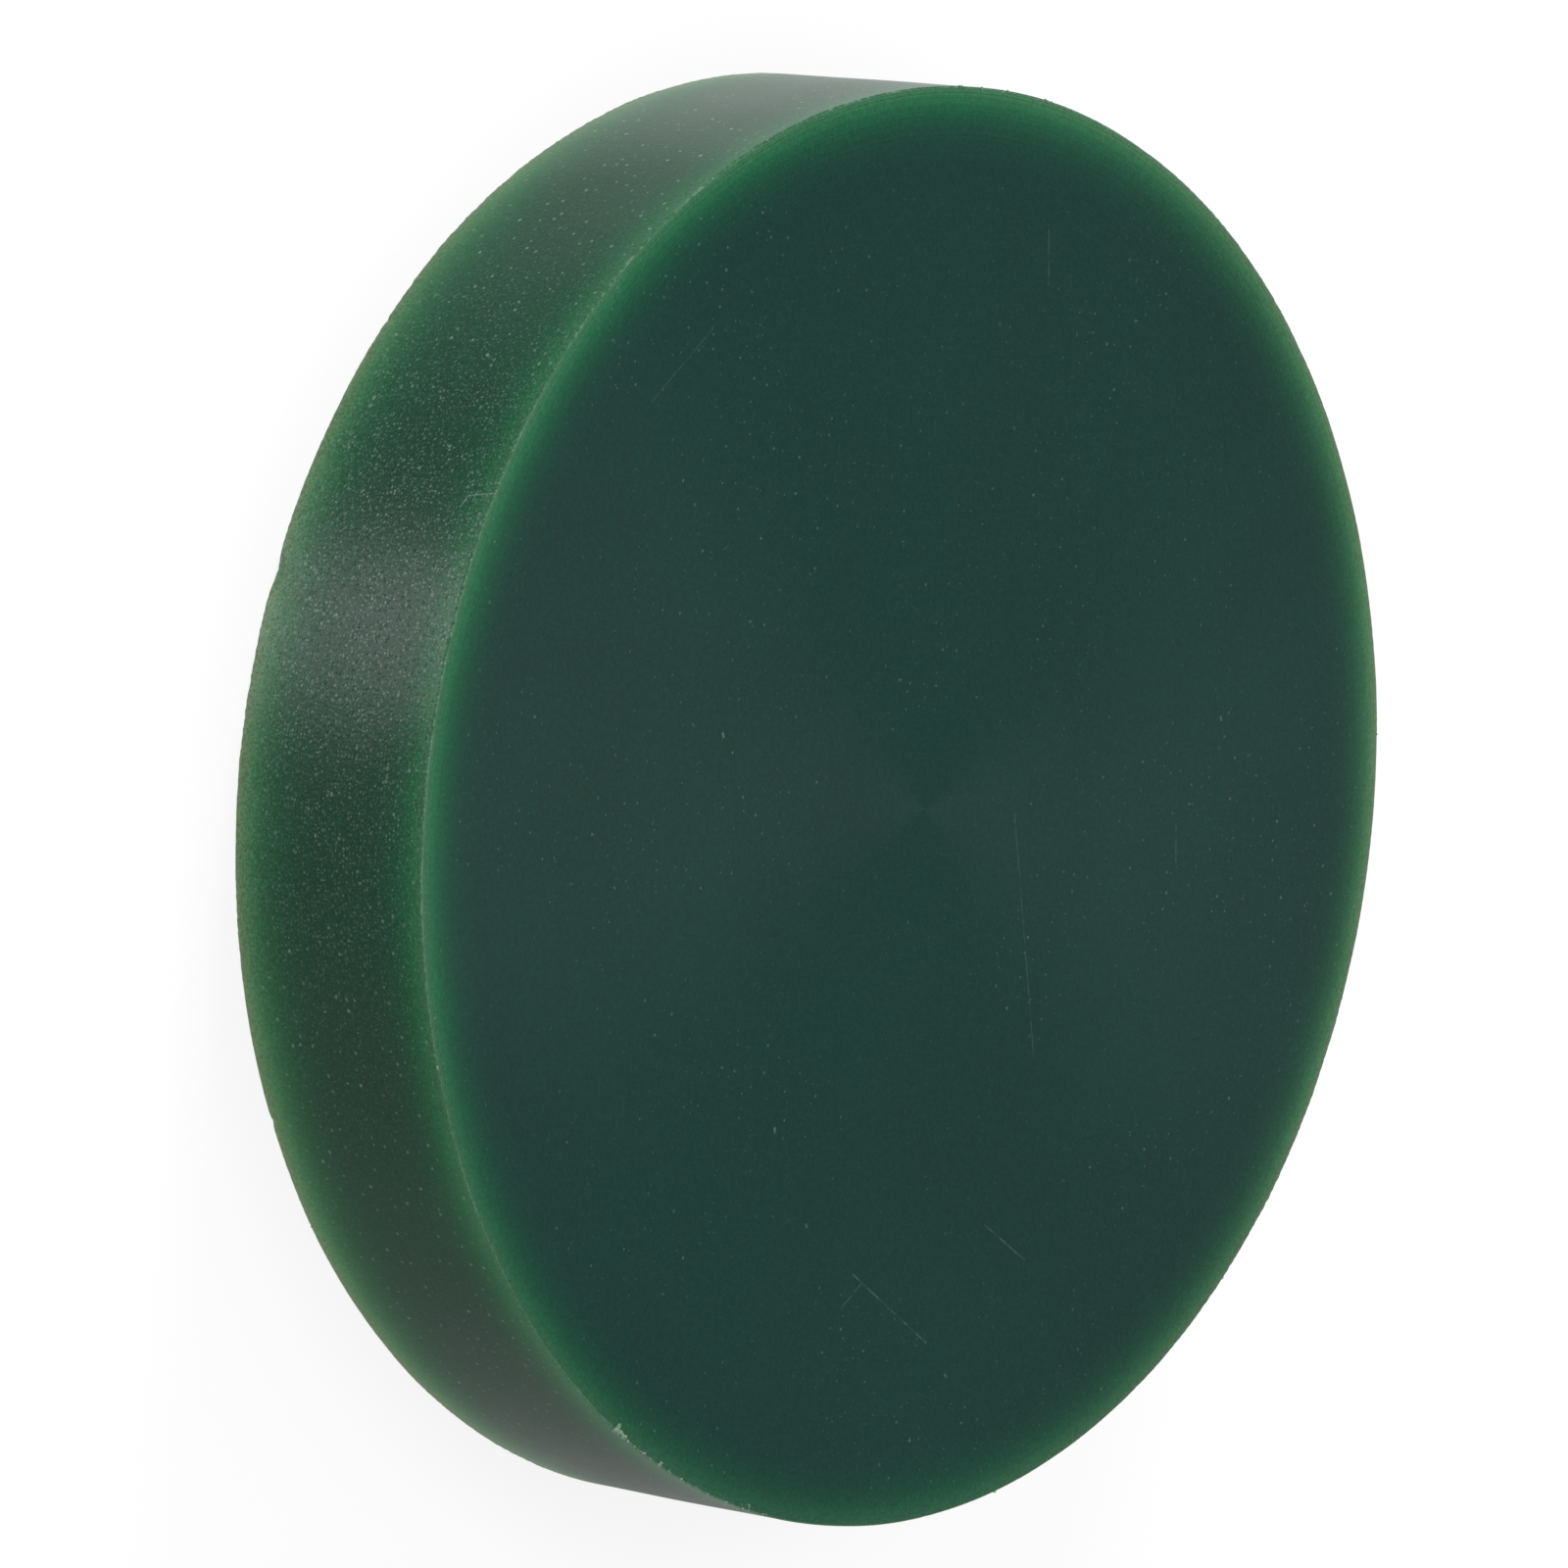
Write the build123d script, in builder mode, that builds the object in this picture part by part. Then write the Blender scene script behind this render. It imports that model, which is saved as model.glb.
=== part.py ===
"""A one-piece puck: a thick round disc with flat faces and square, lightly broken edges.

Millimetres. The puck lies flat with its axis on +Z, and the origin is the middle of its underside.
"""
from build123d import *
import os

# Driving dimensions.
diameter = 76.2  # three inches, the standard width of a puck
thickness = 13.2  # a thin puck, a little over a sixth of its width
edge_break = 0.12  # the small 45 degree break that a tool leaves on each edge

# Worked out from them.
radius = diameter / 2

os.makedirs("parts", exist_ok=True)

# The puck is solid right through. Half its section, on the plane through the axis, turned once round.
with BuildPart() as puck_body:
    with BuildSketch(Plane.XZ):
        with BuildLine():
            Polyline(
                (0, 0),
                (radius - edge_break, 0),
                (radius, edge_break),
                (radius, thickness - edge_break),
                (radius - edge_break, thickness),
                (0, thickness),
                close=True,
            )
        make_face()
    revolve(axis=Axis.Z, revolution_arc=360)

puck_body.part.label = "puck_body"
export_step(puck_body.part, "parts/puck_body.step")
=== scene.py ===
"""The looks of the puck: one thick disc of dark green, slightly see-through, waxy plastic.

Everything is in metres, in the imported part's frame: the puck lies flat on z = 0 with its axis on +Z.
Azimuths are in degrees round that axis, from +X towards +Y. The camera stands on the -Y side.
"""
import math
import random
import bmesh
import bpy
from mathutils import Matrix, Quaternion, Vector, noise


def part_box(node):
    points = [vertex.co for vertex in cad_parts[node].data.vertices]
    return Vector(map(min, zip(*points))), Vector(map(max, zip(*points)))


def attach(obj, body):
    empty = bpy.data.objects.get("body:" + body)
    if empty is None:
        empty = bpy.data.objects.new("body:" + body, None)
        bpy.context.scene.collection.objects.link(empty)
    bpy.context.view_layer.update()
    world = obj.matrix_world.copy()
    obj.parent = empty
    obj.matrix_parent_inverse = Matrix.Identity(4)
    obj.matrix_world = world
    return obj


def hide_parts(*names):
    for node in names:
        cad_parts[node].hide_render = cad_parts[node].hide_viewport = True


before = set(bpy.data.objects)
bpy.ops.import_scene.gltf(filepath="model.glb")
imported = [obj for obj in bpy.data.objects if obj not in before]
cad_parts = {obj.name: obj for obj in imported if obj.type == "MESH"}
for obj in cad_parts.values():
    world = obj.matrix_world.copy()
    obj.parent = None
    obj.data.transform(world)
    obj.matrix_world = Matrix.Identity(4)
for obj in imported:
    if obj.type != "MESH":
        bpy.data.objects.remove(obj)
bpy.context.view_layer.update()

MM = 0.001

# The puck's place and size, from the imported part.
body_low, body_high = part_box("puck_body")
diameter = body_high.x - body_low.x
radius = diameter / 2
thickness = body_high.z - body_low.z
top = body_high.z

# The camera, in diameters from the middle of the top face, with its lens and sensor in mm.
CAMERA_PLACE = Vector((0, -5.386, 4.630))
CAMERA_AIM = Vector((-0.0048, -0.1486, 0))
CAMERA_ROLL = 97.43
CAMERA_LENS = 235.8
CAMERA_SENSOR = 36

# The mesh stands in rings of vertices, which have the most steps near the two edges.
EDGE_STEPS = 3072
MIDDLE_STEPS = EDGE_STEPS // 4
# Rings beside an edge, on its face and on the rim: (distance from the edge, steps).
BESIDE_EDGE = (
    (0.22 * MM, EDGE_STEPS),
    (0.38 * MM, EDGE_STEPS),
    (0.65 * MM, EDGE_STEPS // 2),
    (1.1 * MM, MIDDLE_STEPS),
)
# Rings further in on a face: shares of the radius, then distances from the edge.
FACE_SHARES = (0.05, 0.1, 0.2, 0.36, 0.56, 0.74, 0.86)
FACE_INSETS = (3.4 * MM, 2.0 * MM)
RIM_ROWS = 6  # rings from the last one beside an edge to the middle of the rim
EDGE_ROWS = 5  # rings over an edge's rounding
EDGE_BREAK = 0.12 * MM  # radius of that rounding

# The ragged lip on the edges.
LIP_HEIGHT = 0.045 * MM
LIP_REACH = 0.1 * MM
NEGLIGIBLE = 0.01  # the share of the lip's height under which it is left out
COARSE_SIZE = 1.6 * MM
RAGGED_SIZE = 0.3 * MM
# The lip's height comes from a level, a coarse noise and a ragged noise, and its frost from both noises.
LIP_LEVEL = 0.25
LIP_COARSE = 0.7
LIP_RAGGED = 0.9
FROST_COARSE = 1.3
FROST_RAGGED = 1.9
CLEAN_WEAR = 0.35  # how heavy the lip is where the edge is cleanest
# Stretches of an edge where the lip is heavier: (middle azimuth, width in degrees, how much heavier).
WORN_STRETCHES = (
    (214, 58, 1.1),
    (265, 20, 1.0),
    (285, 8, 0.7),
    (340, 26, 0.6),
    (60, 40, 0.6),
    (150, 30, 0.5),
)

# Nicks in the bottom edge: (azimuth, width in mm, depth in mm).
NICKS = ((258.2, 1.5, 0.2), (236, 0.4, 0.07), (302, 0.5, 0.08), (70, 0.7, 0.15), (140, 0.5, 0.1))
NICK_HEIGHT = 0.4 * MM
NICK_RAGGED = 0.6  # how uneven a nick's depth is
NICK_FROSTED = 0.3 * MM  # the depth of cut that is frosted all over

# The rim is a little uneven, as turned or cast.
SWELL_SIZE = 6 * MM
SWELL_HEIGHT = 0.04 * MM
SWELL_REACH = 2 * MM

# Clusters of crumbs that cling to an edge: (azimuth, whether it is the top edge, spread in mm, number of
# crumbs, largest radius in mm).
CRUMBS = (
    (332.5, True, 0.28, 14, 0.21),
    (333.6, True, 0.2, 5, 0.13),
    (334.9, True, 0.12, 3, 0.08),
    (336.0, True, 0.15, 4, 0.1),
    (337.2, True, 0.1, 3, 0.07),
    (338.3, True, 0.25, 6, 0.11),
    (339.6, True, 0.1, 3, 0.07),
    (341.3, True, 0.2, 4, 0.08),
    (343.1, True, 0.1, 2, 0.06),
    (345.0, True, 0.12, 3, 0.06),
    (347.2, True, 0.2, 3, 0.06),
    (349.4, True, 0.35, 7, 0.1),
    (351.8, True, 0.2, 3, 0.06),
    (294.9, True, 0.08, 3, 0.11),
    (187.0, True, 0.15, 3, 0.07),
    (184.4, True, 0.15, 3, 0.07),
    (181.5, True, 0.2, 4, 0.07),
    (176.4, True, 0.2, 5, 0.08),
    (214.0, True, 0.1, 2, 0.05),
    (20.0, True, 0.2, 3, 0.07),
    (52.0, True, 0.1, 2, 0.06),
    (101.0, True, 0.15, 3, 0.07),
    (128.0, False, 0.2, 4, 0.08),
    (61.0, False, 0.2, 4, 0.09),
    (312.0, False, 0.15, 3, 0.06),
)
CRUMB_SMALLEST = 0.4  # the smallest radius, in shares of the largest
CRUMB_ALONG = 0.7  # how widely crumbs scatter along the edge, in shares of the spread
CRUMB_INWARD = 0.35  # how widely they scatter inwards
CRUMB_LUMPS = 0.5  # how far a crumb is from round, in shares of its radius
CRUMB_SINK = 0.2  # how far below the top face a crumb's middle is, in shares of its radius
CRUMB_LIFT = 1.5  # how far above the underside a crumb's middle is, so that it stays off the floor


# ---------------------------------------------------------------- the mesh

def add_object(name, data):
    """A new object in the scene."""
    item = bpy.data.objects.new(name, data)
    bpy.context.scene.collection.objects.link(item)
    return item


def face_rings():
    """(radius, steps) of the rings of a face, from the middle outwards. Wider rings have more steps."""
    last = len(FACE_SHARES) - 1
    rings = [(radius * share, MIDDLE_STEPS >> (last - number)) for number, share in enumerate(FACE_SHARES)]
    rings += [(radius - inset, MIDDLE_STEPS) for inset in FACE_INSETS]
    rings += [(radius - inset, steps) for inset, steps in reversed(BESIDE_EDGE)]
    return rings


def edge_rings():
    """(inset, drop) of the rings over an edge, from the face to the rim."""
    rings = []
    for number in range(EDGE_ROWS):
        angle = math.pi / 2 * number / (EDGE_ROWS - 1)
        rings.append((EDGE_BREAK * (1 - math.sin(angle)), EDGE_BREAK * (1 - math.cos(angle))))
    return rings


def rim_rings():
    """(drop, steps) of the rings of the upper half of the rim, from the edge down."""
    rings = list(BESIDE_EDGE[:-1])
    first = BESIDE_EDGE[-1][0]
    for number in range(RIM_ROWS):
        rings.append((first + (thickness / 2 - first) * number / (RIM_ROWS - 1), MIDDLE_STEPS))
    return rings


def all_rings():
    """(radius, height, steps) of every ring, from the top face's middle to the underside's middle."""
    half = [(ring_radius, top, steps) for ring_radius, steps in face_rings()]
    half += [(radius - inset, top - drop, EDGE_STEPS) for inset, drop in edge_rings()]
    half += [(radius, top - drop, steps) for drop, steps in rim_rings()]
    mirrored = [(ring_radius, thickness - height, steps) for ring_radius, height, steps in half[-2::-1]]
    return half + mirrored


def degrees_away(azimuth, place):
    """How far an azimuth is from a place, from -180 to 180 degrees."""
    return (azimuth - place + 180) % 360 - 180


def nick_depth(azimuth):
    """How deep the bottom edge is nicked at an azimuth."""
    depth = 0
    for place, width, deepest in NICKS:
        along = math.radians(degrees_away(azimuth, place)) * radius / (width * MM / 2)
        if abs(along) < 2:
            depth += deepest * MM * math.exp(-along * along)
    return depth


def wear(azimuth):
    """How heavy the lip is at an azimuth."""
    total = CLEAN_WEAR
    for middle, width, weight in WORN_STRETCHES:
        total += weight * math.exp(-((degrees_away(azimuth, middle) / (width / 2)) ** 4))
    return total


def worn(point, edge_wear, nick):
    """Moves an ideal point of the disc to its worn place, and says how frosted the plastic is there."""
    outward = Vector((point.x, point.y, 0)).normalized()
    inset = radius - Vector((point.x, point.y)).length
    on_top = point.z > top - thickness / 2
    drop = top - point.z if on_top else point.z
    up = Vector((0, 0, 1 if on_top else -1))
    swell = noise.noise(point / SWELL_SIZE) * SWELL_HEIGHT
    moved = point + outward * swell * math.exp(-inset / SWELL_REACH)
    near = math.exp(-((inset * inset + drop * drop) / LIP_REACH ** 2))
    cut = 0 if on_top else nick * math.exp(-(drop * drop) / NICK_HEIGHT ** 2)
    if near < NEGLIGIBLE and not cut:
        return moved, 0
    coarse = noise.noise(point / COARSE_SIZE)
    ragged = noise.noise(point / RAGGED_SIZE)
    lip = LIP_HEIGHT * near * edge_wear * (LIP_LEVEL + LIP_COARSE * coarse + LIP_RAGGED * ragged)
    moved += (outward + up) * lip / math.sqrt(2) - outward * cut * (1 + NICK_RAGGED * ragged)
    moved.z = max(moved.z, body_low.z)
    broken = max(0, FROST_RAGGED * ragged + FROST_COARSE * coarse)
    frost = near * near * edge_wear * broken + cut / NICK_FROSTED
    return moved, min(1, frost)


def ring_faces(first, first_steps, second, second_steps):
    """The faces between two rings of vertices. One may have twice as many steps as the other."""
    faces = []
    if first_steps == second_steps:
        for step in range(first_steps):
            after = (step + 1) % first_steps
            faces.append((first + step, second + step, second + after, first + after))
    elif second_steps == 2 * first_steps:
        for step in range(first_steps):
            after = (step + 1) % first_steps
            middle = second + 2 * step + 1
            far = second + (2 * step + 2) % second_steps
            faces.append((first + step, second + 2 * step, middle))
            faces.append((first + step, middle, first + after))
            faces.append((first + after, middle, far))
    else:
        faces = [tuple(reversed(face)) for face in ring_faces(second, second_steps, first, first_steps)]
    return faces


def make_puck():
    """The disc as one closed mesh of rings, with slot 0 on its two faces and slot 1 on its rim."""
    vertices = [Vector((0, 0, top))]
    frosts = [0]
    rings = all_rings()
    starts = []
    azimuths = [360 * step / EDGE_STEPS for step in range(EDGE_STEPS)]
    edge_state = [(wear(azimuth), nick_depth(azimuth)) for azimuth in azimuths]
    for ring_radius, height, steps in rings:
        starts.append(len(vertices))
        for step in range(steps):
            angle = 2 * math.pi * step / steps
            ideal = Vector((ring_radius * math.cos(angle), ring_radius * math.sin(angle), height))
            moved, frost = worn(ideal, *edge_state[step * EDGE_STEPS // steps])
            vertices.append(moved)
            frosts.append(frost)
    bottom_middle = len(vertices)
    vertices.append(Vector((0, 0, body_low.z)))
    frosts.append(0)

    faces = []
    slots = []
    first_steps = rings[0][2]
    for step in range(first_steps):
        after = (step + 1) % first_steps
        faces.append((0, starts[0] + step, starts[0] + after))
        faces.append((bottom_middle, starts[-1] + after, starts[-1] + step))
        slots += [0, 0]
    for number in range(len(rings) - 1):
        band = ring_faces(starts[number], rings[number][2], starts[number + 1], rings[number + 1][2])
        faces += band
        middle_radius = (rings[number][0] + rings[number + 1][0]) / 2
        slots += [1 if middle_radius > radius - EDGE_BREAK / 2 else 0] * len(band)

    mesh = bpy.data.meshes.new("puck")
    mesh.from_pydata(vertices, [], faces)
    mesh.polygons.foreach_set("material_index", slots)
    mesh.attributes.new("frost", "FLOAT", "POINT").data.foreach_set("value", frosts)
    mesh.shade_smooth()
    mesh.update()
    return add_object("puck", mesh)


def make_crumbs():
    """Small lumps of swarf that are stuck to the edges, each sunk a little into the puck."""
    chance = random.Random(7)
    lumps = bmesh.new()
    for azimuth, on_top, spread, count, largest in CRUMBS:
        for _ in range(count):
            size = largest * MM * chance.uniform(CRUMB_SMALLEST, 1)
            turn = math.radians(azimuth) + chance.gauss(0, CRUMB_ALONG) * spread * MM / radius
            inset = abs(chance.gauss(0, CRUMB_INWARD)) * spread * MM
            height = top - CRUMB_SINK * size if on_top else body_low.z + CRUMB_LIFT * size
            reach = radius - inset
            middle = Vector((reach * math.cos(turn), reach * math.sin(turn), height))
            seed = Vector((chance.uniform(0, 100), 0, 0))
            for vertex in bmesh.ops.create_icosphere(lumps, subdivisions=2, radius=size)["verts"]:
                swelling = CRUMB_LUMPS * noise.noise(vertex.co / size + seed)
                vertex.co = middle + vertex.co * (1 + swelling)
    mesh = bpy.data.meshes.new("crumbs")
    lumps.to_mesh(mesh)
    lumps.free()
    mesh.shade_smooth()
    return add_object("crumbs", mesh)


# ---------------------------------------------------------------- the materials

class Nodes:
    """A material's nodes, added one call at a time. A value is a number, a colour or a node's socket."""

    def __init__(self, name):
        self.material = bpy.data.materials.new(name)
        self.material.use_nodes = True
        self.tree = self.material.node_tree
        self.tree.nodes.clear()

    def add(self, kind, values=None, **settings):
        """A node of a kind, with its settings and the values of its inputs."""
        node = self.tree.nodes.new(kind)
        for name, value in settings.items():
            setattr(node, name, value)
        for name, value in (values or {}).items():
            self.feed(node.inputs[name], value)
        return node

    def feed(self, socket, value):
        """Links a socket to another, or sets its value."""
        if isinstance(value, bpy.types.NodeSocket):
            self.tree.links.new(value, socket)
        else:
            socket.default_value = value

    def math(self, operation, first, second=0.0):
        return self.add("ShaderNodeMath", {0: first, 1: second}, operation=operation).outputs[0]

    def total(self, *values):
        result = values[0]
        for value in values[1:]:
            result = self.math("ADD", result, value)
        return result

    def product(self, *values):
        result = values[0]
        for value in values[1:]:
            result = self.math("MULTIPLY", result, value)
        return result

    def vector(self, operation, first, second=(0, 0, 0)):
        """The outputs of a vector operation."""
        return self.add("ShaderNodeVectorMath", {0: first, 1: second}, operation=operation).outputs

    def plus(self, first, second):
        """The sum of two colours or vectors."""
        return self.vector("ADD", first, second)[0]

    def scale(self, vector, factor):
        return self.add("ShaderNodeVectorMath", {0: vector, "Scale": factor}, operation="SCALE").outputs[0]

    def fade(self, value, start, end, low=0.0, high=1.0):
        """Goes smoothly from low to high as the value goes from start to end."""
        values = {"Value": value, "From Min": start, "From Max": end, "To Min": low, "To Max": high}
        return self.add("ShaderNodeMapRange", values, interpolation_type="SMOOTHSTEP").outputs[0]

    def swing(self, pattern, reach, low, high):
        """Takes noise around 0.5, which mostly stays within a reach of it, to values from low to high."""
        return self.fade(pattern, 0.5 - reach, 0.5 + reach, low, high)

    def decay(self, distance, reach):
        """1 at no distance, fading out over a reach."""
        return self.math("EXPONENT", self.product(distance, -1 / reach))

    def mix(self, share, first, second):
        """Goes from the first colour to the second by a share."""
        node = self.add("ShaderNodeMix", data_type="RGBA")
        for socket, value in zip([s for s in node.inputs if s.enabled], (share, first, second)):
            self.feed(socket, value)
        return next(s for s in node.outputs if s.enabled)

    def noise(self, place, size, detail=2.0, dimensions="3D"):
        """Noise around 0.5 with features of a given size in metres."""
        values = {"Scale": 1 / size, "Detail": detail}
        values["W" if dimensions == "1D" else "Vector"] = place
        return self.add("ShaderNodeTexNoise", values, noise_dimensions=dimensions).outputs[0]

    def ramp(self, value, stops):
        """A colour for each value from 0 to 1, from (value, colour) stops."""
        node = self.add("ShaderNodeValToRGB", {"Fac": value})
        elements = node.color_ramp.elements
        while len(elements) < len(stops):
            elements.new(0.5)
        for element, (place, colour) in zip(elements, stops):
            element.position = place
            element.color = (*colour, 1)
        return node.outputs[0]

    def specks(self, place, pattern):
        """Small round specks, one in each of a share of the cells, of random size and strength."""
        spacing, share, size, shift = pattern
        shifted = self.plus(place, (shift[0] * MM, shift[1] * MM, 0))
        values = {"Vector": shifted, "Scale": 1 / (spacing * MM)}
        cells = self.add("ShaderNodeTexVoronoi", values, voronoi_dimensions="2D")
        chance = self.add("ShaderNodeSeparateColor", {0: cells.outputs["Color"]}).outputs
        kept = self.math("LESS_THAN", chance[0], share)
        reach = self.product(chance[1], size / spacing)
        inside = self.fade(self.math("DIVIDE", cells.outputs["Distance"], reach), 1.0, 0.4)
        strength = self.total(0.3, self.product(chance[2], 0.7))
        return self.product(inside, kept, strength)

    def scratch(self, place, start, end, width):
        """1 on a straight line between two points, given in metres in the plane of the surface."""
        line = Vector((*end, 0)) - Vector((*start, 0))
        from_start = self.vector("SUBTRACT", place, (*start, 0))[0]
        dot = self.vector("DOT_PRODUCT", from_start, line)["Value"]
        along = self.product(dot, 1 / line.length_squared)
        share = self.math("MINIMUM", self.math("MAXIMUM", along, 0.0), 1.0)
        on_line = self.scale(tuple(line), share)
        away = self.vector("DISTANCE", from_start, on_line)["Value"]
        return self.fade(away, width / 2, width / 6)


# The plastic's own colour, on the turned faces and on the slightly hazier rim.
FACE_COLOUR = (0.0015, 0.031, 0.0232)
RIM_COLOUR = (0.003, 0.047, 0.023)
FROST_COLOUR = (0.20, 0.33, 0.25, 1)
FROST_STRENGTH = 0.5
SPECK_COLOUR = (0.15, 0.23, 0.19, 1)
DARK_CRUMB = (0.09, 0.18, 0.11, 1)
PALE_CRUMB = (0.24, 0.34, 0.25, 1)

# Light comes through the plastic near an edge and adds to its colour: (distance in mm, added colour).
GLOW = (
    (0.0, (0.043, 0.113, 0.052)),
    (0.3, (0.021, 0.097, 0.031)),
    (0.57, (0.012, 0.092, 0.027)),
    (0.88, (0.005, 0.071, 0.019)),
    (1.14, (0.0020, 0.055, 0.0140)),
    (1.52, (0.001, 0.038, 0.010)),
    (1.91, (0.0, 0.025, 0.006)),
    (2.29, (0.0, 0.0165, 0.004)),
    (2.67, (0.0, 0.0105, 0.003)),
    (3.24, (0.0, 0.0045, 0.0015)),
    (4.2, (0.0, 0.0, 0.0)),
)
# Its strength on a face: a level, what +X and +Y add at the rim, and what the square of Y adds.
FACE_GLOW = 0.74
FACE_GLOW_EAST = -0.25
FACE_GLOW_NORTH = 0.1
FACE_GLOW_NORTH_SQUARED = 0.28
# Its strength on the rim, and how much stronger and longer it is from the lower edge.
RIM_GLOW = 0.8
RIM_GLOW_EAST = 0.4
LOWER_GLOW = 1.6
LOWER_GLOW_REACH = 1.35

# Painted light: a paler colour along the top edge, most of all on the +Y side where light comes through the
# corner, and along the rim's lower edge.
PAINTED_EDGE_LIGHT = (0.07, 0.03, 0.028)
PAINTED_EDGE_LIGHT_REACH = 0.9 * MM
FACE_EDGE_LIGHT_EAST = -0.17
FACE_EDGE_LIGHT_NORTH = 0.9
FACE_EDGE_LIGHT_LEAST = 0.06
LOWER_EDGE_LIGHT = 1.9

# Patterns of specks: (spacing in mm, share of the cells with a speck, largest size in mm, shift in mm).
FACE_SPECKS = (1.1, 0.55, 0.12, (0, 0))
FACE_DUST = (0.55, 0.4, 0.08, (11, 7))
RIM_SPECKS = (0.75, 0.65, 0.15, (3, 9))
RIM_BUMPS = (0.3, 0.8, 0.15, (0, 0))
RIM_GRAINS = (0.25, 0.95, 0.11, (13, 5))
RIM_SMALL_GRAINS = (0.2, 0.7, 0.08, (21, 2))
# How strongly the specks show on a face, and on the rim.
FACE_SPECK_STRENGTH = 0.4
FACE_DUST_STRENGTH = 0.3
RIM_SPECK_STRENGTH = 0.75
SMALL_GRAIN_STRENGTH = 0.7
CRACK_STRENGTH = 0.7
GRAIN_PALENESS = 0.07  # of the grains away from the zone of painted glints
GLINT_ZONE_PALENESS = 0.78  # the painted glints that the zone adds to it

# The sizes of the noise patterns.
GRIT_SIZE = 0.16 * MM
CRUMB_GRIT_SIZE = 0.09 * MM
SCRATCH_BREAK_SIZE = 0.7 * MM
RIM_PATCH_SIZE = 1.3 * MM
DUSTY_AREA_SIZE = 9 * MM
RIM_CLOUD_SIZE = 11 * MM
FACE_CLOUD_SIZE = 14 * MM
FLOOR_CLOUD_SIZE = 90 * MM

# The rings that turning left on the faces. They show most where light comes through near the edge.
RING_WIDTH = 0.09 * MM
BROAD_RING_WIDTH = 1.3 * MM
RING_REACH = 5.0 * MM
RING_TONE = 0.05
RING_TONE_AT_EDGE = 0.16

# Scratches on the top face, in shares of the radius: (start x, y, end x, y, width in mm, strength).
SCRATCHES = (
    (-0.011, 0.193, 0.327, 0.304, 0.1, 0.13),
    (-0.604, -0.559, -0.492, -0.662, 0.1, 0.1),
    (0.566, 0.245, 0.610, 0.340, 0.12, 0.2),
    (0.649, -0.023, 0.737, 0.152, 0.12, 0.2),
    (0.66, 0.0, 0.70, -0.04, 0.1, 0.15),
    (-0.821, 0.103, -0.747, 0.118, 0.1, 0.15),
    (-0.027, 0.549, 0.028, 0.560, 0.1, 0.15),
    # Short nicks.
    (0.459, -0.224, 0.464, -0.222, 0.24, 0.35),
    (0.586, -0.133, 0.589, -0.131, 0.22, 0.35),
    (-0.073, -0.497, -0.071, -0.493, 0.22, 0.25),
    (-0.066, -0.434, -0.062, -0.432, 0.22, 0.35),
    (-0.186, 0.618, -0.182, 0.62, 0.2, 0.25),
)
# The hairline crack on the rim: (azimuth, share of the thickness below the top edge) of its points.
CRACK = ((-109.8, 0.0), (-109.4, 0.13), (-108.4, 0.15))
CRACK_WIDTH = 0.1 * MM
# Painted glints: the grains on the rim are paler round this azimuth, where the rim's highlight falls, over
# about this many degrees to each side.
GLINT_ZONE = (-98, 25)

PLASTIC_IOR = 1.45
FACE_SPECULAR = 0.29
RIM_SPECULAR = 0.34
CRUMB_SPECULAR = 0.4
FACE_SHEEN_STRETCH = 0.75
FACE_SHEEN_TURN = 0.25
FACE_ROUGHNESS = 0.36
RIM_ROUGHNESS = 0.31
ROUGHNESS_SWING = 0.02
MARK_ROUGHNESS = 0.3  # added by marks and by frost
FACE_RELIEF = 0.003 * MM
RIM_RELIEF = 0.011 * MM
CRUMB_RELIEF = 0.02 * MM


def glow(nodes, distance, reach, strength):
    """The colour added at a distance from an edge. A longer reach stretches the glow inwards."""
    last = GLOW[-1][0]
    share = nodes.product(distance, 1 / (last * MM * reach))
    added = nodes.ramp(share, [(stop / last, colour) for stop, colour in GLOW])
    return nodes.scale(added, strength)


def place_nodes(nodes):
    """Object coordinates, as one place and as three numbers."""
    place = nodes.add("ShaderNodeTexCoord").outputs["Object"]
    x, y, z = nodes.add("ShaderNodeSeparateXYZ", {0: place}).outputs
    return place, x, y, z


def flattened(nodes, first, second):
    """A place in a plane, from its two coordinates."""
    return nodes.add("ShaderNodeCombineXYZ", {0: first, 1: second, 2: 0.0}).outputs[0]


def frosted(nodes, colour):
    """The colour with the frosted lip on it, and the share of frost, which the mesh carries."""
    share = nodes.add("ShaderNodeAttribute", attribute_name="frost").outputs["Fac"]
    return nodes.mix(nodes.product(share, FROST_STRENGTH), colour, FROST_COLOUR), share


def finish_plastic(nodes, colour, roughness, height, relief, sheen):
    """The plastic shader, with a height pattern that stands out by a relief in metres."""
    bump = nodes.add("ShaderNodeBump", {"Height": height, "Distance": relief, "Strength": 1.0})
    values = {"Base Color": colour, "Roughness": roughness, "Normal": bump.outputs[0], "IOR": PLASTIC_IOR}
    shader = nodes.add("ShaderNodeBsdfPrincipled", {**values, **sheen})
    nodes.add("ShaderNodeOutputMaterial", {0: shader.outputs[0]})
    return nodes.material


def face_scratches(nodes, place, flat, z):
    """How strongly each point of the top face is scratched. The lines are a little broken up."""
    scratches = 0.0
    for x0, y0, x1, y1, width, strength in SCRATCHES:
        line = nodes.scratch(flat, (x0 * radius, y0 * radius), (x1 * radius, y1 * radius), width * MM)
        scratches = nodes.total(nodes.product(line, strength), scratches)
    broken = nodes.fade(nodes.noise(place, SCRATCH_BREAK_SIZE, detail=1.0), 0.4, 0.6)
    on_top = nodes.math("GREATER_THAN", z, thickness / 2)
    return nodes.product(scratches, nodes.total(0.3, broken), on_top)


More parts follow.
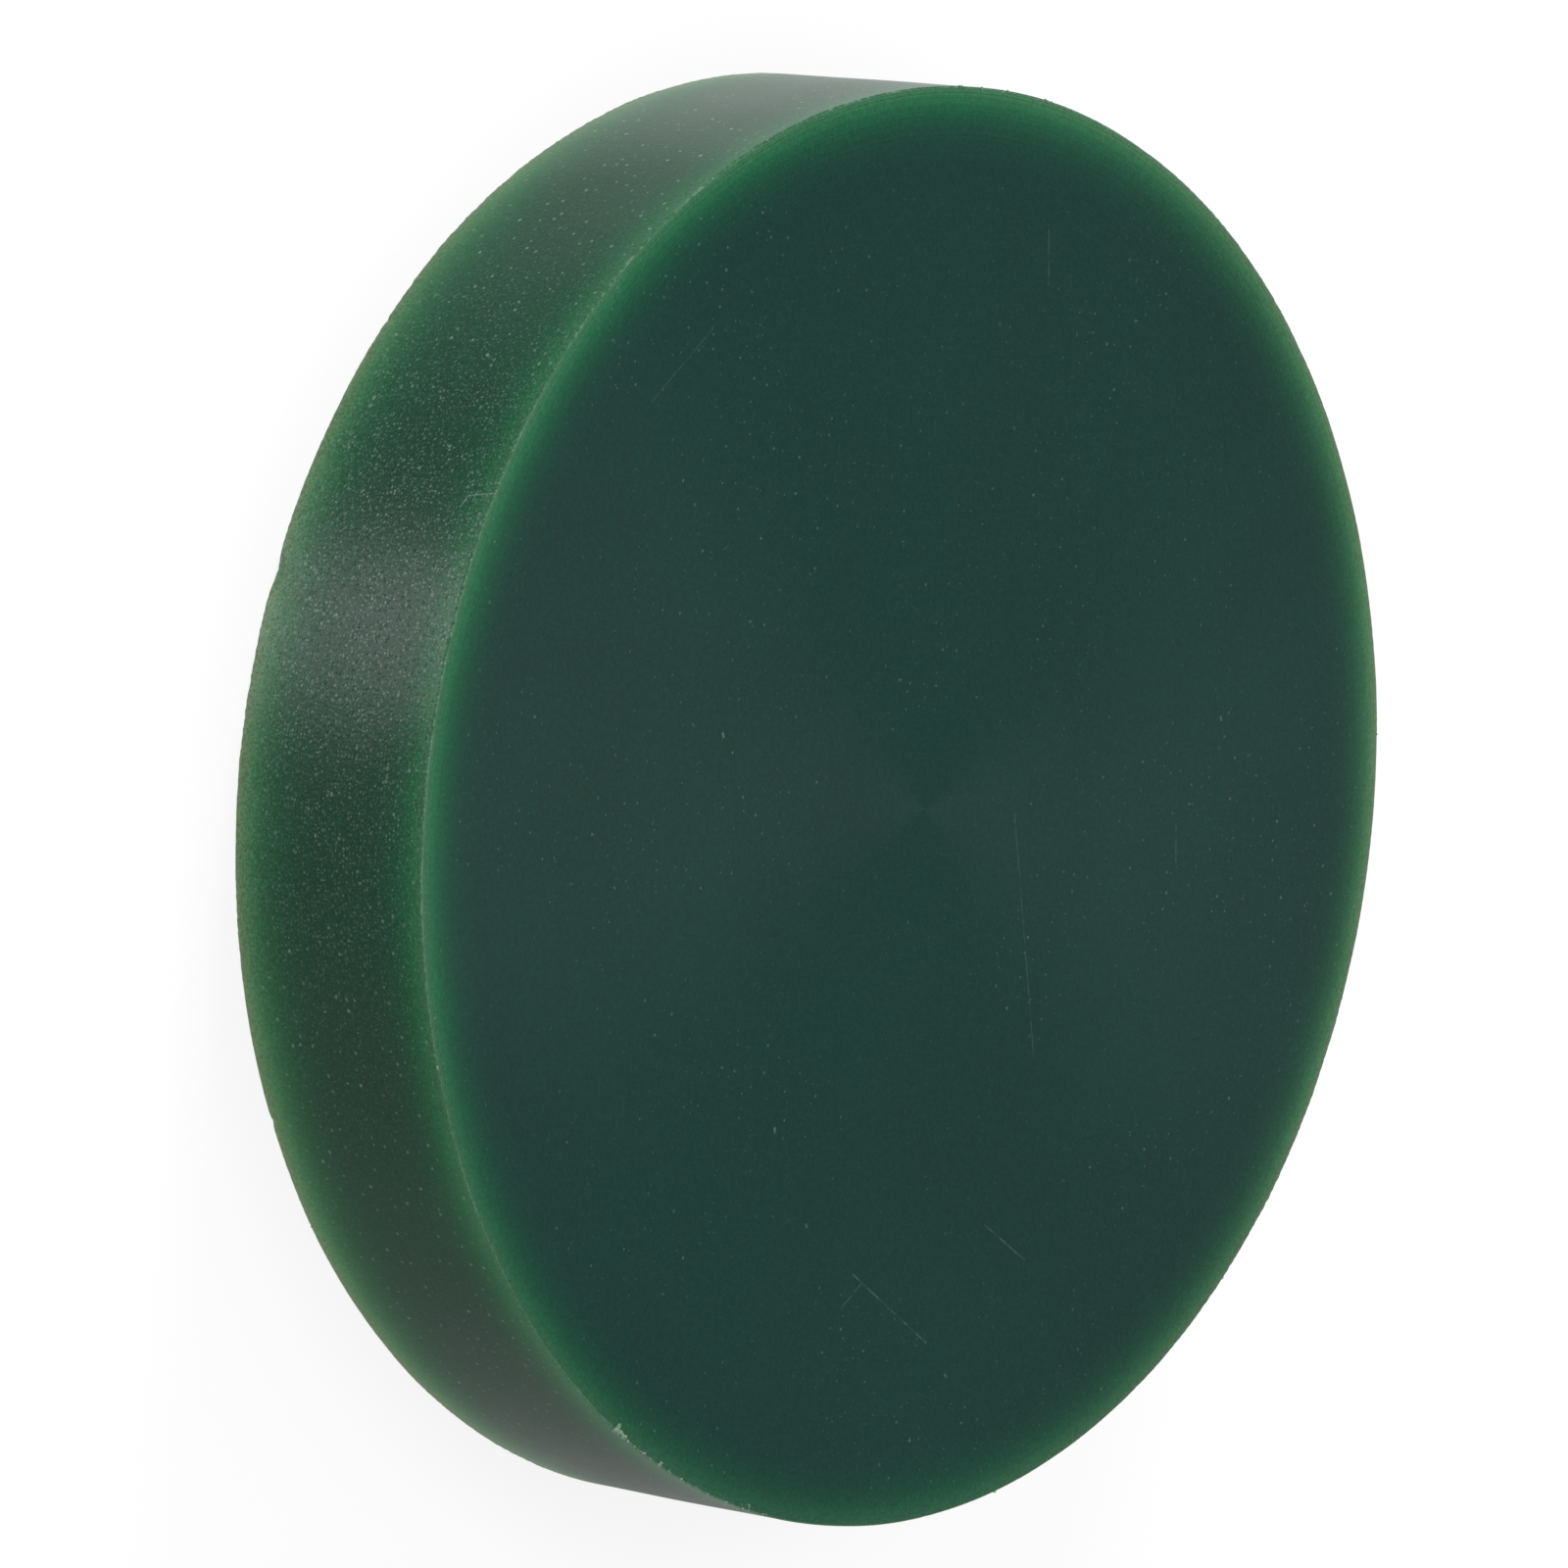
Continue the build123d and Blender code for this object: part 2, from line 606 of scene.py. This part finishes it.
def face_colour_and_light(nodes, east, north, inset):
    """The plastic's colour on a face, with the painted glow and the painted paler edge light along its
    edge.
    """
    glow_strength = nodes.total(
        FACE_GLOW,
        nodes.product(east, FACE_GLOW_EAST),
        nodes.product(north, FACE_GLOW_NORTH),
        nodes.product(north, north, FACE_GLOW_NORTH_SQUARED),
    )
    # Painted light: a paler edge, strongest on the +Y side, where light comes through the corner.
    edge_light_side = nodes.total(nodes.product(east, FACE_EDGE_LIGHT_EAST), nodes.product(north, FACE_EDGE_LIGHT_NORTH))
    edge_light_strength = nodes.math("MAXIMUM", edge_light_side, FACE_EDGE_LIGHT_LEAST)
    painted_edge_light = nodes.product(edge_light_strength, nodes.decay(inset, PAINTED_EDGE_LIGHT_REACH))
    colour = nodes.plus(FACE_COLOUR, glow(nodes, inset, 1.0, glow_strength))
    return nodes.plus(colour, nodes.scale(PAINTED_EDGE_LIGHT, painted_edge_light))


def turned_face():
    """Satin turned plastic: fine rings round the axis, dust specks and a few scratches."""
    nodes = Nodes("turned_face")
    place, x, y, z = place_nodes(nodes)
    flat = flattened(nodes, x, y)
    from_axis = nodes.vector("LENGTH", flat)["Value"]
    inset = nodes.math("MAXIMUM", nodes.math("SUBTRACT", radius, from_axis), 0.0)
    east = nodes.product(x, 1 / radius)
    north = nodes.product(y, 1 / radius)

    rings = nodes.noise(from_axis, RING_WIDTH, detail=1.0, dimensions="1D")
    broad_rings = nodes.noise(from_axis, BROAD_RING_WIDTH, detail=0.0, dimensions="1D")
    cloud = nodes.noise(place, FACE_CLOUD_SIZE, detail=3.0)
    grit = nodes.noise(place, GRIT_SIZE, detail=1.0)
    dusty = nodes.fade(nodes.noise(place, DUSTY_AREA_SIZE), 0.38, 0.62, 0.2, 1)
    specks = nodes.specks(flat, FACE_SPECKS)
    dust = nodes.specks(flat, FACE_DUST)
    scratches = face_scratches(nodes, place, flat, z)

    ring_strength = nodes.product(
        nodes.fade(inset, RING_REACH, 0.0, RING_TONE, RING_TONE_AT_EDGE),
        nodes.fade(east, 1.0, -1.0, 0.3, 1.0),
    )
    ring_tone = nodes.product(nodes.swing(rings, 0.25, -1.0, 1.0), ring_strength)
    grit_tone = nodes.swing(grit, 0.3, -0.16, 0.16)
    tone = nodes.total(nodes.swing(cloud, 0.2, 0.95, 1.05), grit_tone, ring_tone)
    marks = nodes.total(
        nodes.product(specks, dusty, FACE_SPECK_STRENGTH),
        nodes.product(dust, dusty, FACE_DUST_STRENGTH),
        scratches,
    )
    colour = nodes.scale(face_colour_and_light(nodes, east, north, inset), tone)
    colour = nodes.mix(marks, colour, SPECK_COLOUR)
    colour, frost = frosted(nodes, colour)

    roughness = nodes.total(
        FACE_ROUGHNESS,
        nodes.swing(cloud, 0.2, -ROUGHNESS_SWING, ROUGHNESS_SWING),
        nodes.product(marks, MARK_ROUGHNESS),
        nodes.product(frost, MARK_ROUGHNESS),
    )
    height = nodes.total(
        nodes.product(rings, 0.5),
        nodes.product(broad_rings, 0.6),
        nodes.product(grit, 0.3),
        nodes.product(scratches, -1.5),
        nodes.product(specks, 1.5),
    )
    # The rings draw the sheen out.
    tangent = nodes.add("ShaderNodeTangent", direction_type="RADIAL", axis="Z").outputs[0]
    sheen = {
        "Specular IOR Level": FACE_SPECULAR,
        "Anisotropic": FACE_SHEEN_STRETCH,
        "Anisotropic Rotation": FACE_SHEEN_TURN,
        "Tangent": tangent,
    }
    return finish_plastic(nodes, colour, roughness, height, FACE_RELIEF, sheen)


def rim_crack(nodes, sheet):
    """1 on the hairline crack."""
    crack = 0.0
    for (azimuth, share), (next_azimuth, next_share) in zip(CRACK, CRACK[1:]):
        start = (math.radians(azimuth) * radius, top - share * thickness)
        end = (math.radians(next_azimuth) * radius, top - next_share * thickness)
        crack = nodes.math("MAXIMUM", nodes.scratch(sheet, start, end, CRACK_WIDTH), crack)
    return crack


def rim_colour_and_light(nodes, x, z):
    """The plastic's colour on the rim, with the painted glow from both edges and the painted paler edge
    light along the lower one.
    """
    drop = nodes.math("MAXIMUM", nodes.math("SUBTRACT", top, z), 0.0)
    rise = nodes.math("MAXIMUM", z, 0.0)
    side = nodes.total(RIM_GLOW, nodes.product(x, RIM_GLOW_EAST / radius))
    upper_glow = glow(nodes, drop, 1.0, side)
    lower_glow = glow(nodes, rise, LOWER_GLOW_REACH, nodes.product(side, LOWER_GLOW))
    # Painted light: a paler band along the rim's lower edge, which is lit from behind.
    painted_edge_light = nodes.product(nodes.decay(rise, PAINTED_EDGE_LIGHT_REACH), side, LOWER_EDGE_LIGHT)
    colour = nodes.plus(nodes.plus(RIM_COLOUR, upper_glow), lower_glow)
    return nodes.plus(colour, nodes.scale(PAINTED_EDGE_LIGHT, painted_edge_light))


def grained_rim():
    """The rim's skin: hazy, with small raised grains that glint, painted glints on the grains round one
    stretch, painted edge light along the lower edge, a hairline crack and pale specks.
    """
    nodes = Nodes("grained_rim")
    place, x, y, z = place_nodes(nodes)
    turn = nodes.math("ARCTAN2", y, x)
    sheet = flattened(nodes, nodes.product(turn, radius), z)

    bumps = nodes.specks(sheet, RIM_BUMPS)
    grains = nodes.specks(sheet, RIM_GRAINS)
    small_grains = nodes.specks(sheet, RIM_SMALL_GRAINS)
    specks = nodes.specks(sheet, RIM_SPECKS)
    grit = nodes.noise(place, GRIT_SIZE, detail=1.0)
    cloud = nodes.noise(place, RIM_CLOUD_SIZE, detail=3.0)
    patches = nodes.fade(nodes.noise(place, RIM_PATCH_SIZE), 0.35, 0.6, 0.65, 1.1)

    # Painted glints: the grains are paler round the stretch where the rim's highlight falls.
    middle, width = GLINT_ZONE
    away = nodes.product(nodes.total(turn, -math.radians(middle)), 1 / math.radians(width))
    glint_zone = nodes.product(nodes.math("EXPONENT", nodes.product(away, away, -1.0)), patches)
    paleness_and_glints = nodes.total(GRAIN_PALENESS, nodes.product(glint_zone, GLINT_ZONE_PALENESS))

    # The grit's tone is also stronger where the glints are painted.
    grit_strength = nodes.total(0.16, nodes.product(glint_zone, 0.2))
    grit_tone = nodes.product(nodes.swing(grit, 0.25, -1.0, 1.0), grit_strength)
    tone = nodes.total(nodes.swing(cloud, 0.2, 0.93, 1.07), grit_tone)
    marks = nodes.total(
        nodes.product(specks, patches, RIM_SPECK_STRENGTH),
        nodes.product(grains, paleness_and_glints),
        nodes.product(small_grains, paleness_and_glints, SMALL_GRAIN_STRENGTH),
        nodes.product(rim_crack(nodes, sheet), CRACK_STRENGTH),
    )
    colour = nodes.scale(rim_colour_and_light(nodes, x, z), tone)
    colour = nodes.mix(marks, colour, SPECK_COLOUR)
    colour, frost = frosted(nodes, colour)

    roughness = nodes.total(
        RIM_ROUGHNESS,
        nodes.swing(cloud, 0.2, -ROUGHNESS_SWING, ROUGHNESS_SWING),
        nodes.product(frost, MARK_ROUGHNESS),
    )
    relief = nodes.total(0.5, nodes.product(glint_zone, 0.6))
    height = nodes.product(nodes.total(bumps, nodes.product(grit, 0.8)), relief)
    sheen = {"Specular IOR Level": RIM_SPECULAR}
    return finish_plastic(nodes, colour, roughness, height, RIM_RELIEF, sheen)


def crumb_plastic():
    """Torn plastic, frosted white all through."""
    nodes = Nodes("crumb_plastic")
    place = nodes.add("ShaderNodeTexCoord").outputs["Object"]
    grit = nodes.noise(place, CRUMB_GRIT_SIZE)
    colour = nodes.mix(nodes.swing(grit, 0.2, 0.0, 1.0), DARK_CRUMB, PALE_CRUMB)
    roughness = nodes.swing(grit, 0.2, 0.45, 0.6)
    sheen = {"Specular IOR Level": CRUMB_SPECULAR}
    return finish_plastic(nodes, colour, roughness, grit, CRUMB_RELIEF, sheen)


# ---------------------------------------------------------------- the studio

FLOOR_SIZE = 80 * diameter
FLOOR_GREYS = ((0.2, 0.2, 0.2, 1), (0.21, 0.21, 0.21, 1))
FLOOR_LIGHT = 0.8
ROOM_LIGHT = 0.567
BACKDROP_COLOUR = (0.915, 0.915, 0.915, 1)

# The soft boxes: (name, azimuth, elevation, distance in m, size in m, power in W, spread in degrees,
# whether the plastic mirrors it). The side ones have a narrow spread, so that they light less of the floor.
# The low ones stand below the floor, which stops no light, and shine up on the rim.
SOFT_BOXES = (
    ("overhead", 0, 90, 0.6, 0.5, 1.7, 180, True),
    ("side_back", 180, 16, 0.5, 0.16, 0.31, 70, False),
    ("side_left", 240, 16, 0.5, 0.16, 0.078, 70, False),
    ("side_front", 0, 16, 0.5, 0.16, 0.027, 70, False),
    ("rim_stripe", 254, -40, 0.36, 0.11, 0.145, 180, True),
    ("rim_sheen", 128, -40, 0.4, 0.3, 0.115, 180, True),
    ("rim_back", 171, -40, 0.4, 0.3, 0.055, 180, True),
    ("rim_front", 330, -40, 0.4, 0.3, 0.013, 180, True),
)


def pale_floor():
    """Nearly white, mostly by its own light, so that the puck's shadow on it stays faint."""
    nodes = Nodes("pale_floor")
    place = nodes.add("ShaderNodeTexCoord").outputs["Object"]
    cloud = nodes.noise(place, FLOOR_CLOUD_SIZE)
    colour = nodes.mix(nodes.swing(cloud, 0.2, 0.0, 1.0), *FLOOR_GREYS)
    values = {"Base Color": colour, "Roughness": 0.8, "Specular IOR Level": 0.0,
              "Emission Color": (1, 1, 1, 1), "Emission Strength": FLOOR_LIGHT}
    shader = nodes.add("ShaderNodeBsdfPrincipled", values)
    nodes.add("ShaderNodeOutputMaterial", {0: shader.outputs[0]})
    return nodes.material


def make_floor():
    """A pale floor with the puck's soft shadow. It doesn't light the puck or show in its reflections."""
    half = FLOOR_SIZE / 2
    corners = [(-half, -half, 0), (half, -half, 0), (half, half, 0), (-half, half, 0)]
    mesh = bpy.data.meshes.new("floor")
    mesh.from_pydata(corners, [], [(0, 1, 2, 3)])
    floor = add_object("floor", mesh)
    floor.location.z = body_low.z
    floor.data.materials.append(pale_floor())
    floor.visible_glossy = False
    floor.visible_diffuse = False
    floor.visible_shadow = False
    return floor


def place_at(azimuth, elevation, distance):
    """The place at an azimuth, an elevation and a distance from the middle of the underside."""
    level = distance * math.cos(math.radians(elevation))
    turn = math.radians(azimuth)
    height = distance * math.sin(math.radians(elevation))
    return Vector((level * math.cos(turn), level * math.sin(turn), height))


def make_light(name, place, size, power, spread, mirrored):
    """A square soft box that faces the puck."""
    target = Vector((0, 0, thickness / 2))
    data = bpy.data.lights.new(name, "AREA")
    data.size = size
    data.energy = power
    data.spread = math.radians(spread)
    light = add_object(name, data)
    light.location = place
    light.rotation_mode = "QUATERNION"
    light.rotation_quaternion = (target - light.location).to_track_quat("-Z", "Y")
    light.visible_camera = False
    light.visible_glossy = mirrored


def make_world():
    """The room's even light, and nearly white where the camera sees past the floor."""
    world = bpy.data.worlds.new("studio")
    world.use_nodes = True
    tree = world.node_tree
    tree.nodes.clear()
    room = tree.nodes.new("ShaderNodeBackground")
    room.inputs["Strength"].default_value = ROOM_LIGHT
    backdrop = tree.nodes.new("ShaderNodeBackground")
    backdrop.inputs["Color"].default_value = BACKDROP_COLOUR
    choice = tree.nodes.new("ShaderNodeMixShader")
    tree.links.new(tree.nodes.new("ShaderNodeLightPath").outputs["Is Camera Ray"], choice.inputs[0])
    tree.links.new(room.outputs[0], choice.inputs[1])
    tree.links.new(backdrop.outputs[0], choice.inputs[2])
    tree.links.new(choice.outputs[0], tree.nodes.new("ShaderNodeOutputWorld").inputs[0])
    bpy.context.scene.world = world


def make_camera():
    """The photo's view, from 41 degrees above the top face. The roll points +Z to the picture's right."""
    data = bpy.data.cameras.new("camera")
    data.sensor_width = CAMERA_SENSOR
    data.lens = CAMERA_LENS
    camera = add_object("camera", data)
    top_middle = Vector((0, 0, top))
    camera.location = top_middle + CAMERA_PLACE * diameter
    aim = top_middle + CAMERA_AIM * diameter
    level = (aim - camera.location).to_track_quat("-Z", "Y")
    camera.rotation_mode = "QUATERNION"
    camera.rotation_quaternion = level @ Quaternion((0, 0, 1), math.radians(CAMERA_ROLL))
    bpy.context.scene.camera = camera


make_camera()
make_world()
make_floor()
for name, azimuth, elevation, distance, size, power, spread, mirrored in SOFT_BOXES:
    make_light(name, place_at(azimuth, elevation, distance), size, power, spread, mirrored)

puck = make_puck()
puck.data.materials.append(turned_face())
puck.data.materials.append(grained_rim())
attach(puck, "root")
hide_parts("puck_body")

crumbs = make_crumbs()
crumbs.data.materials.append(crumb_plastic())
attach(crumbs, "root")

bpy.context.scene.view_settings.view_transform = "Standard"
